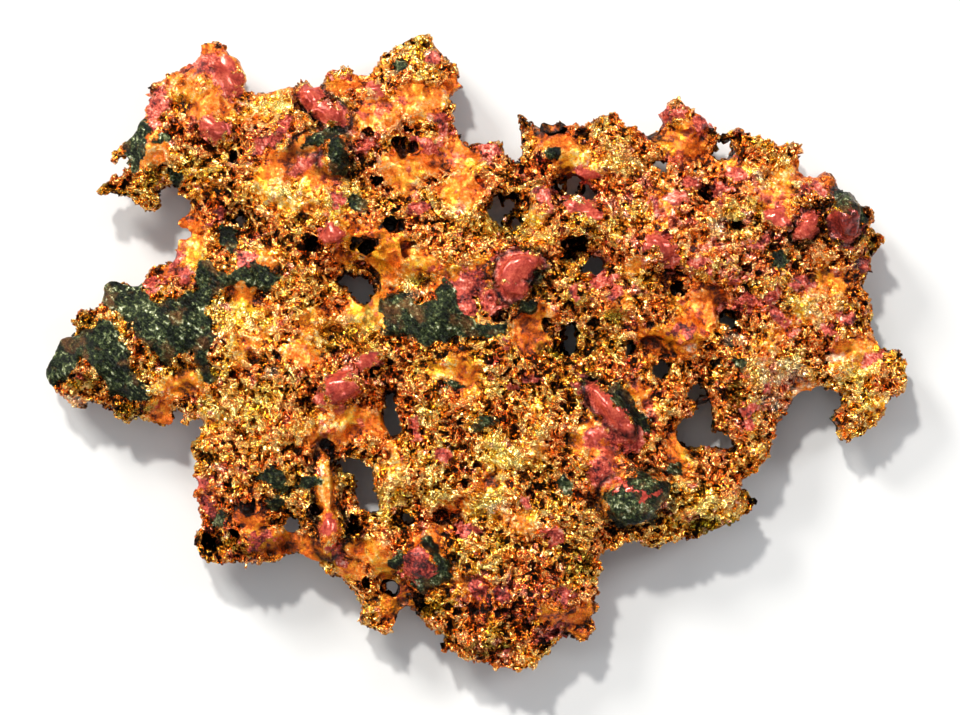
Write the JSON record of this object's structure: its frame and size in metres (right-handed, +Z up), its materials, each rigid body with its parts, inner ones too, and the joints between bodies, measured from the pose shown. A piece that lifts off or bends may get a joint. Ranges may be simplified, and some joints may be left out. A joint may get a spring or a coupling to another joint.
{
  "type": "native copper nugget",
  "caption": "Flat ragged nugget of native copper with a spongy crystalline face, dark worn plates, red oxide skins and holes right through it.",
  "frame": {"origin": "middle of the nugget's bounding box, on the ground it lies on", "axes": "+X along its greatest length, towards the hooked east end; +Y across it, towards the two upper lobes; +Z up, out of its face"},
  "size_m": [0.0402, 0.0296, 0.0055],
  "materials": {
    "native_copper": "hackly native copper, bright orange to gold, with dark green-grey worn plates and glossy red oxide skins"
  },
  "bodies": {
    "root": {"copper_nugget": "native_copper"}
  },
  "joints": []
}
